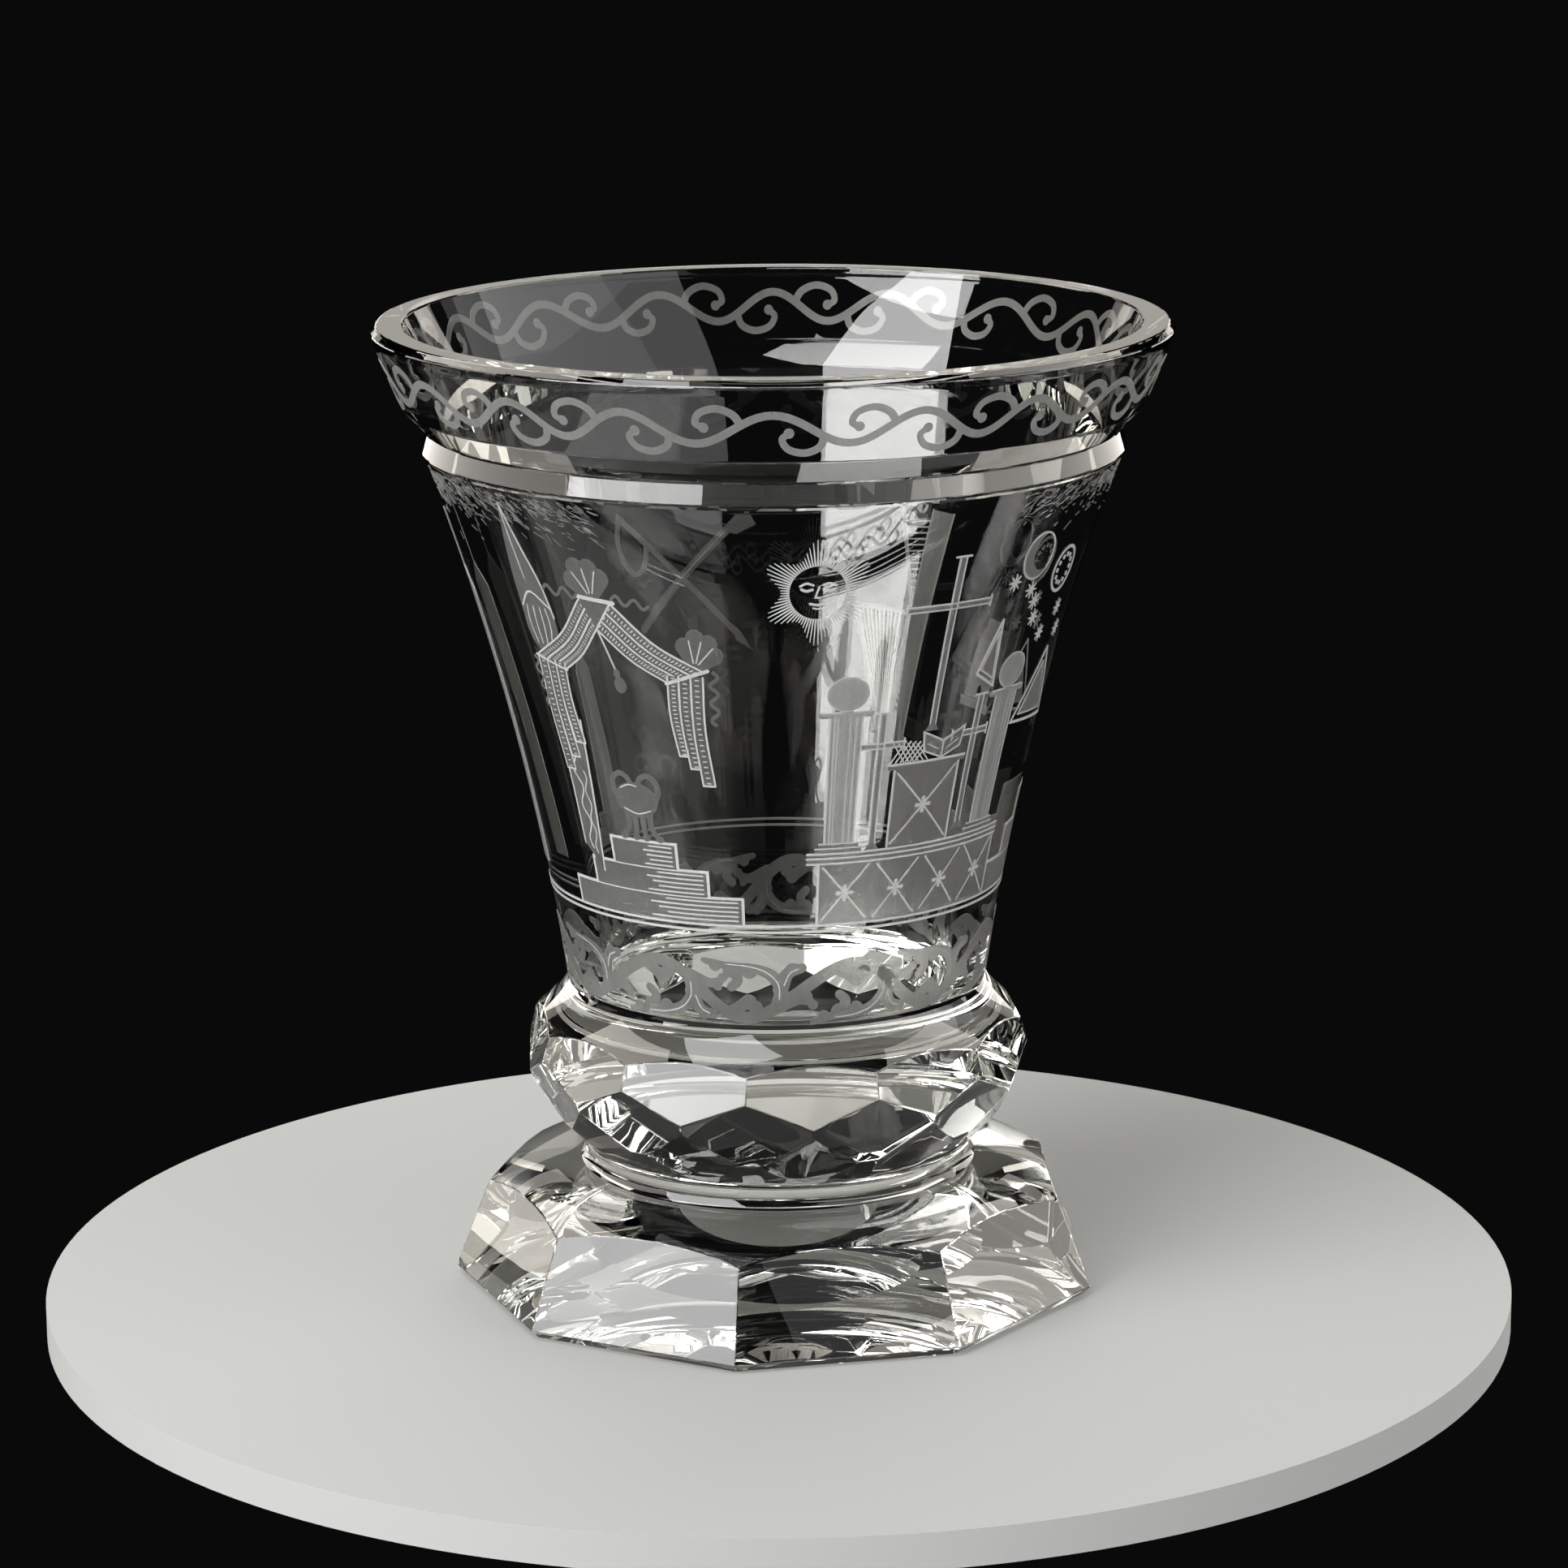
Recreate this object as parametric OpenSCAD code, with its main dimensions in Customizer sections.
// Cut and engraved drinking glass with a heavy faceted foot.
// The clear glass was gathered and joined hot from four pieces: the flared bowl, the collar
// that was laid round the bowl's solid base, the wafer that makes the neck, and the foot.
// The outside was then ground: a groove and a ring under the rim, three rows of flat faces
// on the collar and one row of flat faces on the foot.
// Millimetres, +Z up, origin in the middle of the foot's underside, front towards -Y.

/* [Foot] */
// Height of the foot, up to the seat of the neck
foot_h = 13.8; // [11:0.1:20]
// Radius of the foot at its corners, above the lower chamfer
foot_r = 36.7; // [32:0.1:46]
// Height of the domed top at the edge of the turned blank, before grinding
foot_dome_low = 7.1; // [5:0.1:9]
// Number of flat faces round the foot
foot_faces = 9; // [7:1:12]
// Lean of those faces, from upright
foot_lean = 20; // [10:1:28]
// Direction of one corner, from the front towards +X
foot_turn = -7.5; // [-20:0.5:20]
// Width and height of the chamfer round the underside
foot_chamfer = 0.9; // [0.4:0.1:2]
// Radius of the polished hollow in the underside
pontil_r = 14; // [8:0.5:20]
// Depth of that hollow
pontil_depth = 1.6; // [0.6:0.1:4]

/* [Neck] */
// Radius of the neck where it meets the foot and the collar
neck_r = 22.3; // [19:0.1:24]
// Height of the neck
neck_h = 3; // [2:0.1:6]
// How far the waist of the neck is drawn in
neck_waist = 0.5; // [0.2:0.1:1]

/* [Collar] */
// Height of the collar, from the neck to the shoulder of the bowl
collar_h = 18; // [16:0.1:24]
// How far the collar's corners stand out past the bowl's base
collar_out = 4.9; // [4:0.1:8]
// Number of flat faces in each of the three rows
collar_faces = 12; // [10:1:14]
// Direction of one upright edge of the top row, from the front towards +X
collar_turn = -7; // [-15:0.5:15]
// Height of the collar's corners above its underside
girdle_h = 10.8; // [9:0.1:12]
// Lean of the top row, faces turned up
upper_lean = 15; // [8:1:20]
// Lean of the middle row, faces turned down
middle_lean = 21; // [16:1:25]
// Lean of the bottom row, faces turned down
lower_lean = 38; // [34:1:42]
// Height of the points of the middle row above the underside
low_point_h = 2.3; // [1.5:0.1:4]
// Lean of the turned underside, from upright
underside_lean = 45; // [40:1:55]
// Height of the outer edge of the turned top above the underside
shoulder_h = 12.9; // [12:0.1:14]
// Radius of the hollow curve of the turned top
cove_r = 14; // [9:0.5:40]

/* [Bowl] */
// Height of the bowl, from its shoulder on the collar to the lip
bowl_h = 74.2; // [60:0.1:95]
// Radius of the bowl's base
base_r = 23.4; // [21:0.1:28]
// Radius of the wall's flare, seen in profile
flare_r = 290; // [200:5:600]
// Depth of the bowl's solid base in the collar
seat_depth = 9.3; // [7:0.1:12]
// Width of the shoulder that rests on the collar
seat_step = 1.4; // [0.8:0.1:2]
// Space left round the base in the collar
seat_clearance = 0.05; // [0.03:0.01:0.1]
// Depth of the inner floor below the shoulder
floor_drop = 2.8; // [1:0.1:5]
// Rounding between the inner floor and the wall
floor_round = 6; // [3:0.5:9]
// Thickness of the wall at the base
wall_base = 3.8; // [3:0.1:6]
// Thickness of the wall at the lip
wall_lip = 3.6; // [3:0.1:5]

/* [Rim] */
// Largest radius of the rim, at the lip
lip_r = 44.05; // [40:0.05:52]
// Bevel on the outer edge of the lip
lip_bevel = 0.7; // [0.3:0.05:1.2]
// Height of the lip, bevel included
lip_h = 1.5; // [1.3:0.1:3]
// Height of the rim band below the lip
band_h = 7.4; // [5:0.1:12]
// How far the rim band tapers in towards its lower edge
band_taper = 3.3; // [1.5:0.1:5]
// Depth of the groove under the rim band
groove_depth = 2.55; // [1.5:0.05:3]
// Height of the groove's sloping upper side
groove_h = 2.6; // [1.5:0.1:4]
// How far the ring's edge stands out past the groove
ring_out = 0.65; // [0.3:0.05:1]
// Height of the ring's bevel below the groove
ring_h = 2.4; // [1.5:0.1:4]
// Undercut where the wall starts below the ring
ring_step = 0.45; // [0.2:0.05:0.8]

/* [Hidden] */
$fn = 96;
glass = [0.86, 0.90, 0.91, 0.45];
// Steps in which a curve of the profile is drawn
curve_steps = 24;
// How far the flat-sided solids reach past what is ground with them
past = 1;
// Lean of the inner wall where the rounding of the floor ends
inner_lean = 9;
// How far the turned blanks stand out past the faces that are ground on them
grind = 0.4;

neck_z = foot_h;
collar_z = neck_z + neck_h;
bowl_z = collar_z + collar_h;
lip_z = bowl_z + bowl_h;

collar_r = base_r + collar_out;
blank_r = collar_r + grind;
seat_r = base_r - seat_step;

band_r = lip_r - band_taper;
groove_r = band_r - groove_depth;
ring_r = groove_r + ring_out;
wall_top_r = ring_r - ring_step;
band_top_z = lip_z - lip_h;
band_z = band_top_z - band_h;
groove_z = band_z - groove_h;
ring_z = groove_z - ring_h;
wall_top_z = ring_z - ring_step;
floor_z = bowl_z - floor_drop;

// Points of a circle from angle a to angle b, the first one left out
function round_points(centre, r, a, b) = [
    for (i = [1:curve_steps]) centre + r * [cos(a + (b - a) * i / curve_steps), sin(a + (b - a) * i / curve_steps)]
];

// Points of the arc of radius r from p to q, the first one left out. The arc's centre lies to the
// right of the way from p to q, or to the left of it where r is negative.
function arc_points(p, q, r) =
    let (
        way = q - p,
        reach = norm(way),
        side = [way[1], -way[0]] / reach,
        centre = (p + q) / 2 + side * sign(r) * sqrt(r * r - reach * reach / 4),
        half = asin(reach / 2 / r),
        middle = atan2(-side[1] * sign(r), -side[0] * sign(r))
    )
    round_points(centre, abs(r), middle + half, middle - half);

// A tapered solid with flat sides, from height low to height high. Each side passes through radius
// r at height z and is turned up by lean, and one side is square to the direction of first.
module flat_sided(count, first, r, z, lean, low, high) {
    low_r = r + (z - low) * tan(lean);
    high_r = r + (z - high) * tan(lean);
    half_step = 180 / count;
    translate([0, 0, low])
        linear_extrude(height = high - low, scale = high_r / low_r)
            rotate(first - 90)
                rotate(half_step)
                    circle(low_r / cos(half_step), $fn = count);
}

// Outline of half the bowl: base, wall, ring, groove, rim band, lip, inner wall and inner floor
function bowl_outline() =
    let (
        base = [base_r, bowl_z],
        wall_top = [wall_top_r, wall_top_z],
        lip_inside = [lip_r - wall_lip, lip_z],
        round_centre = [base_r - wall_base - floor_round, floor_z + floor_round],
        wall_foot = round_centre + floor_round * [cos(inner_lean), -sin(inner_lean)]
    )
    concat(
        [[0, bowl_z - seat_depth], [seat_r, bowl_z - seat_depth], [seat_r, bowl_z], base],
        arc_points(base, wall_top, flare_r),
        [[ring_r, ring_z], [groove_r, groove_z], [band_r, band_z]],
        [[lip_r - lip_bevel / 4, band_top_z], [lip_r, lip_z - lip_bevel], [lip_r - lip_bevel, lip_z], lip_inside],
        arc_points(lip_inside, wall_foot, -flare_r),
        round_points(round_centre, floor_round, -inner_lean, -90),
        [[0, floor_z]]
    );

module bowl() {
    color(glass)
        rotate_extrude()
            polygon(bowl_outline());
}

// Outline of half the collar before grinding: underside, socket for the bowl, shoulder and hollow top
function collar_outline() =
    let (
        socket_r = seat_r + seat_clearance,
        socket_z = bowl_z - seat_depth,
        shoulder = [base_r, bowl_z],
        edge = [blank_r, collar_z + shoulder_h],
        underside_h = (blank_r - neck_r) / tan(underside_lean)
    )
    concat(
        [[0, collar_z], [neck_r, collar_z], [blank_r, collar_z + underside_h], edge],
        arc_points(edge, shoulder, cove_r),
        [[socket_r, bowl_z], [socket_r, socket_z], [0, socket_z]]
    );

// The turned blank is ground to the three rows of faces
module collar() {
    half_step = 180 / collar_faces;
    girdle_z = collar_z + girdle_h;
    low_z = collar_z + low_point_h;
    low_r = collar_r - (girdle_h - low_point_h) * tan(middle_lean);
    under = collar_z - past;
    over = bowl_z + past;
    between = collar_turn + half_step;
    color(glass)
        intersection() {
            rotate_extrude()
                polygon(collar_outline());
            flat_sided(collar_faces, between, collar_r * cos(half_step), girdle_z, upper_lean, under, over);
            flat_sided(collar_faces, collar_turn, collar_r, girdle_z, -middle_lean, under, over);
            flat_sided(collar_faces, between, low_r * cos(half_step), low_z, -lower_lean, under, over);
        }
}

// The waist is an arc that is drawn in by neck_waist half-way up
module neck() {
    waist_r = (neck_h * neck_h / 4 + neck_waist * neck_waist) / (2 * neck_waist);
    low = [neck_r, neck_z];
    high = [neck_r, collar_z];
    color(glass)
        rotate_extrude()
            polygon(concat([[0, neck_z], low], arc_points(low, high, waist_r), [[0, collar_z]]));
}

// The domed top leaves the neck level and curves down; the flat faces are ground through its edge
module foot() {
    half_step = 180 / foot_faces;
    edge_r = foot_r + grind;
    dome_out = edge_r - neck_r;
    dome_drop = foot_h - foot_dome_low;
    dome_r = (dome_out * dome_out + dome_drop * dome_drop) / (2 * dome_drop);
    dome_sweep = asin(dome_out / dome_r);
    pontil_ball = (pontil_r * pontil_r + pontil_depth * pontil_depth) / (2 * pontil_depth);
    middle_r = foot_r * cos(half_step);
    between = foot_turn + half_step;
    color(glass)
        difference() {
            intersection() {
                rotate_extrude()
                    polygon(concat(
                        [[0, foot_h], [neck_r, foot_h]],
                        round_points([neck_r, foot_h - dome_r], dome_r, 90, 90 - dome_sweep),
                        [[edge_r, 0], [0, 0]]
                    ));
                flat_sided(foot_faces, between, middle_r, foot_chamfer, foot_lean, -past, foot_h + past);
                flat_sided(foot_faces, between, middle_r, foot_chamfer, -45, -past, foot_h + past);
            }
            translate([0, 0, pontil_depth - pontil_ball])
                sphere(pontil_ball, $fn = 2 * $fn);
        }
}

bowl();
collar();
neck();
foot();
